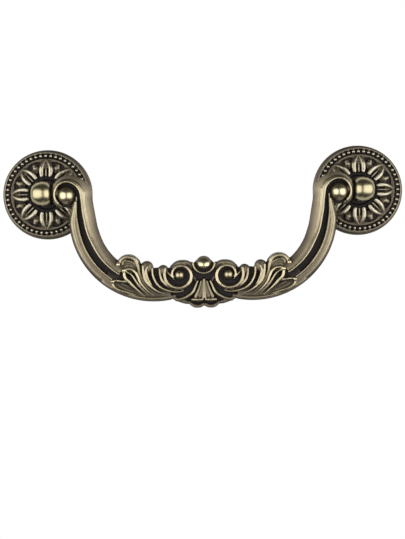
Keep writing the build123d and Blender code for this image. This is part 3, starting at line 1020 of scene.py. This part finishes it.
def make_rosette(finish):
    """One rosette, cast round the post's middle line, then set at each end of the handle."""
    bead = ball(bead_circle, 0, bead_crest - bead_radius, bead_radius)
    parts = [rosette_blank(), scalloped_ledge()]
    parts.append(repeated(petal(), petal_count))
    parts.append(repeated(leaf_point(), petal_count, pi / petal_count))
    parts.append(repeated(bead, bead_count))
    piece = cast("rosette", parts, rosette_voxel)
    low = (-rosette_radius, rosette_low.y, -rosette_radius)
    high = (rosette_radius, 0.0, rosette_radius)
    keep_inside(piece, low, high)
    mark_edges(piece)
    mark_depth(piece, **rosette_depth)
    piece = thinned(piece)
    for side, name in ((1, "right"), (-1, "left")):
        copy = new_object("carved_rosette_" + name, piece.data.copy())
        copy.data.transform(Matrix.Translation((side * screw_x, 0, 0)))
        finished(copy, "backplates", ["rosette_" + name], finish)
    bpy.data.objects.remove(piece)


# Post


def post_head():
    """Cushion-shaped head, turned round the hinge line, with a flat towards the bail."""
    built = bmesh.new()
    corners = [built.verts.new((along, -radius, 0)) for along, radius in head_profile]
    for first, second in zip(corners, corners[1:]):
        built.edges.new((first, second))
    spin_round(built, (1, 0, 0), head_steps)
    shift(built, (0, -hinge_height, 0))
    head = object_from("head", built)
    rounding = head.modifiers.new("rounding", "SUBSURF")
    rounding.levels = rounding.render_levels = head_rounding
    return baked(head)


def make_posts(finish):
    """Both posts: shank, collar, neck and head, bored for the screw and the pin."""
    stem = turned(
        (
            (middle_hole_radius, seat_height - overlap),
            (collar_radius, seat_height),
            (collar_radius, collar_top - collar_chamfer),
            (collar_radius - collar_chamfer, collar_top),
            (neck_radius, collar_top + collar_fillet),
            (neck_radius, hinge_height - neck_sink),
            (middle_hole_radius, hinge_height - neck_sink),
        )
    )
    parts = [block(shank_width, 0.0, seat_height + overlap), stem, post_head()]
    parts.append(disc(0, 0, core_radius, core_low, hinge_height))
    piece = cast("post", parts, post_voxel)
    piece = cut(piece, disc(0, 0, screw_bore_radius, -overcut, screw_bore_depth))
    piece = cut(piece, crossbar(-head_flat - overcut, pin_bore_depth, pin_radius + pin_play))
    low = (-collar_radius, post_low.y, post_low.z)
    high = (post_high.x - screw_x, 0.0, post_high.z)
    keep_inside(piece, low, high)
    mark_edges(piece)
    risen = (-points_of(piece)[:, 1] - post_dull_height) / post_rubbed_reach
    store(piece, "depth", risen * 0.5 + post_dull_level)
    for side, name in ((1, "right"), (-1, "left")):
        built = bmesh.new()
        built.from_mesh(piece.data)
        bmesh.ops.scale(built, vec=(side, 1, 1), verts=built.verts)
        shift(built, (side * screw_x, 0, 0))
        bmesh.ops.recalc_face_normals(built, faces=built.faces)
        finished(object_from("turned_post_" + name, built), "backplates", ["post_" + name], finish)
    bpy.data.objects.remove(piece)


# Finishes


def add_node(tree, kind, **settings):
    """Node of the kind, with its settings."""
    node = tree.nodes.new(kind)
    for name, value in settings.items():
        setattr(node, name, value)
    return node


def feed(tree, socket, value):
    """Gives an input its value, which is another node's output, a number or a colour."""
    if isinstance(value, bpy.types.NodeSocket):
        tree.links.new(value, socket)
    elif isinstance(value, tuple):
        socket.default_value = (*value, 1)
    else:
        socket.default_value = value


def join_values(tree, operation, first, second):
    """Sum, product or the like of two values."""
    node = add_node(tree, "ShaderNodeMath", operation=operation)
    feed(tree, node.inputs[0], first)
    feed(tree, node.inputs[1], second)
    return node.outputs[0]


def blend_colors(tree, share, first, second):
    """Colour between two others."""
    node = add_node(tree, "ShaderNodeMix", data_type="RGBA")
    tree.links.new(share, node.inputs["Factor"])
    for socket, value in zip([s for s in node.inputs if s.type == "RGBA"], (first, second)):
        feed(tree, socket, value)
    return [s for s in node.outputs if s.type == "RGBA"][0]


def eased_step(tree, value, low, high, out_low=0.0, out_high=1.0):
    """Value that runs smoothly from one number to another as the input goes from low to high."""
    node = add_node(tree, "ShaderNodeMapRange", interpolation_type="SMOOTHSTEP")
    tree.links.new(value, node.inputs["Value"])
    for name, limit in zip(("From Min", "From Max", "To Min", "To Max"), (low, high, out_low, out_high)):
        feed(tree, node.inputs[name], limit)
    return node.outputs["Result"]


def mottle(tree, scale, detail):
    """Cloudy variation over the object, from 0 to 1."""
    place = add_node(tree, "ShaderNodeTexCoord")
    noise = add_node(tree, "ShaderNodeTexNoise")
    tree.links.new(place.outputs["Object"], noise.inputs["Vector"])
    noise.inputs["Scale"].default_value = scale
    noise.inputs["Detail"].default_value = detail
    return noise.outputs["Fac"]


def weighed(tree, value, weight):
    """Value from 0 to 1, taken from its middle and multiplied by its weight."""
    return join_values(tree, "MULTIPLY", join_values(tree, "SUBTRACT", value, 0.5), weight)


def rubbed_patina():
    """Effect of an antique finish: dark patina that is rubbed through to brass on whatever stands proud."""
    group = bpy.data.node_groups.new("Rubbed patina", "ShaderNodeTree")
    for name, direction, kind in (
        ("Rubbing", "INPUT", "Float"),
        ("Patina", "INPUT", "Color"),
        ("Tarnish", "INPUT", "Color"),
        ("Brass", "INPUT", "Color"),
        ("Color", "OUTPUT", "Color"),
        ("Metallic", "OUTPUT", "Float"),
        ("Roughness", "OUTPUT", "Float"),
        ("Grain", "OUTPUT", "Float"),
    ):
        group.interface.new_socket(name, in_out=direction, socket_type="NodeSocket" + kind)
    given = group.nodes.new("NodeGroupInput")
    result = group.nodes.new("NodeGroupOutput")
    edges = add_node(group, "ShaderNodeAttribute", attribute_name="edges").outputs["Fac"]
    # Depth is also held low next to the post, which paints shade between the scroll and the post.
    depth = add_node(group, "ShaderNodeAttribute", attribute_name="depth").outputs["Fac"]
    cloud = mottle(group, *cloud_texture)
    grain = mottle(group, *grain_texture)
    proud = weighed(group, depth, depth_weight)
    sharp = weighed(group, edges, edge_weight)
    uneven = weighed(group, cloud, cloud_weight)
    rub = join_values(group, "ADD", join_values(group, "ADD", proud, sharp), uneven)
    rub = join_values(group, "ADD", rub, given.outputs["Rubbing"])
    tarnished = eased_step(group, rub, *tarnish_span)
    color = blend_colors(group, tarnished, given.outputs["Patina"], given.outputs["Tarnish"])
    bright = eased_step(group, rub, *brass_span)
    color = blend_colors(group, bright, color, given.outputs["Brass"])
    rough = eased_step(group, rub, *roughness_span)
    rough = join_values(group, "ADD", rough, join_values(group, "MULTIPLY", grain, grain_roughness))
    metallic = eased_step(group, rub, *metal_span)
    for socket, value in zip(result.inputs, (color, metallic, rough, grain)):
        feed(group, socket, value)
    return group


def new_material(name):
    """Material, its tree of nodes and the shader in it."""
    material = bpy.data.materials.new(name)
    material.use_nodes = True
    return material, material.node_tree, material.node_tree.nodes["Principled BSDF"]


def antique_brass(name, patina_effect, rubbing, brass):
    """Antique brass of one kind of piece, which differs in how far it is rubbed bright."""
    material, tree, metal = new_material(name)
    effect = add_node(tree, "ShaderNodeGroup", node_tree=patina_effect)
    for socket, value in zip(effect.inputs, (rubbing, patina_brown, tarnish_olive, brass)):
        feed(tree, socket, value)
    for socket, value in zip(("Base Color", "Metallic", "Roughness"), effect.outputs):
        feed(tree, metal.inputs[socket], value)
    bump = add_node(tree, "ShaderNodeBump")
    feed(tree, bump.inputs["Strength"], grain_strength)
    feed(tree, bump.inputs["Distance"], grain_depth)
    feed(tree, bump.inputs["Height"], effect.outputs["Grain"])
    feed(tree, metal.inputs["Normal"], bump.outputs["Normal"])
    return material


def turned_steel():
    """Plain steel of the pins, with a fine cloudy mottle in its colour and roughness."""
    material, tree, metal = new_material("Turned steel")
    metal.inputs["Metallic"].default_value = 1.0
    cloud = mottle(tree, *steel_texture)
    tree.links.new(blend_colors(tree, cloud, steel_dark, steel_light), metal.inputs["Base Color"])
    tree.links.new(eased_step(tree, cloud, *steel_roughness_span), metal.inputs["Roughness"])
    return material


# Studio


def aim(thing, place, target, roll=0.0):
    """Sets a lamp or camera at a place, turned to look at the target."""
    thing.location = place
    facing = (Vector(target) - Vector(place)).to_track_quat("-Z", "Y").to_matrix()
    thing.rotation_euler = (facing @ Matrix.Rotation(roll, 3, "Z")).to_euler()


def soft_lamp(name, side):
    """Large soft lamp in front of the handle, to its left or right."""
    lamp = bpy.data.lights.new(name, "AREA")
    lamp.shape = "RECTANGLE"
    lamp.size, lamp.size_y = lamp_size
    lamp.energy = lamp_power
    thing = new_object(name, lamp)
    thing.visible_camera = False
    aim(thing, (side * lamp_side, -lamp_side, lamp_height), lamp_target)


def white_room():
    """World: white where the camera looks, and for reflections white behind and dark above and below."""
    world = bpy.data.worlds.new("White room")
    bpy.context.scene.world = world
    world.use_nodes = True
    tree = world.node_tree
    paths = add_node(tree, "ShaderNodeLightPath")
    toward = add_node(tree, "ShaderNodeSeparateXYZ")
    place = add_node(tree, "ShaderNodeTexCoord")
    tree.links.new(place.outputs["Generated"], toward.inputs[0])
    steep = join_values(tree, "ABSOLUTE", toward.outputs["Z"], 0.0)
    level = eased_step(tree, steep, *room_above_span)
    behind = eased_step(tree, toward.outputs["Y"], *room_behind_span)
    mirrored = join_values(tree, "MAXIMUM", level, behind)
    glossy = paths.outputs["Is Glossy Ray"]
    matt = join_values(tree, "SUBTRACT", 1.0, glossy)
    mirrored = join_values(tree, "MULTIPLY", glossy, mirrored)
    plain = join_values(tree, "MULTIPLY", matt, room_light)
    strength = join_values(tree, "ADD", mirrored, plain)
    seen = join_values(
        tree, "MAXIMUM", paths.outputs["Is Camera Ray"], paths.outputs["Is Transmission Ray"]
    )
    strength = join_values(tree, "MAXIMUM", strength, seen)
    background = tree.nodes["Background"]
    background.inputs["Color"].default_value = (1, 1, 1, 1)
    tree.links.new(strength, background.inputs["Strength"])


def make_studio():
    """Floor, lamps, world and the camera at the photo's angle."""
    built = bmesh.new()
    bmesh.ops.create_grid(built, x_segments=1, y_segments=1, size=floor_size)
    shift(built, (0, 0, floor_height))
    floor = object_from("floor", built)
    paper, tree, surface = new_material("Pale floor")
    feed(tree, surface.inputs["Base Color"], paper_color)
    feed(tree, surface.inputs["Roughness"], paper_roughness)
    floor.data.materials.append(paper)
    white_room()
    soft_lamp("left lamp", -1)
    soft_lamp("right lamp", 1)
    lens = bpy.data.cameras.new("camera")
    lens.lens = camera_lens
    lens.sensor_width = camera_sensor
    lens.shift_y = camera_shift
    lens.clip_start = camera_clip
    camera = new_object("camera", lens)
    place = (camera_side, -camera_distance, camera_height)
    aim(camera, place, (camera_side, 0, camera_height), -camera_roll)
    bpy.context.scene.camera = camera
    bpy.context.scene.view_settings.view_transform = "Standard"


def main():
    """Builds the pieces, finishes them and sets the studio."""
    patina_effect = rubbed_patina()
    make_studio()
    make_bail(antique_brass("Bail brass", patina_effect, bail_rubbing, bail_brass))
    make_rosette(antique_brass("Rosette brass", patina_effect, rosette_rubbing, rosette_brass))
    make_posts(antique_brass("Post brass", patina_effect, post_rubbing, post_brass))
    steel = turned_steel()
    for name in ("hinge_pin_left", "hinge_pin_right"):
        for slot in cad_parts[name].material_slots:
            slot.material = steel


main()
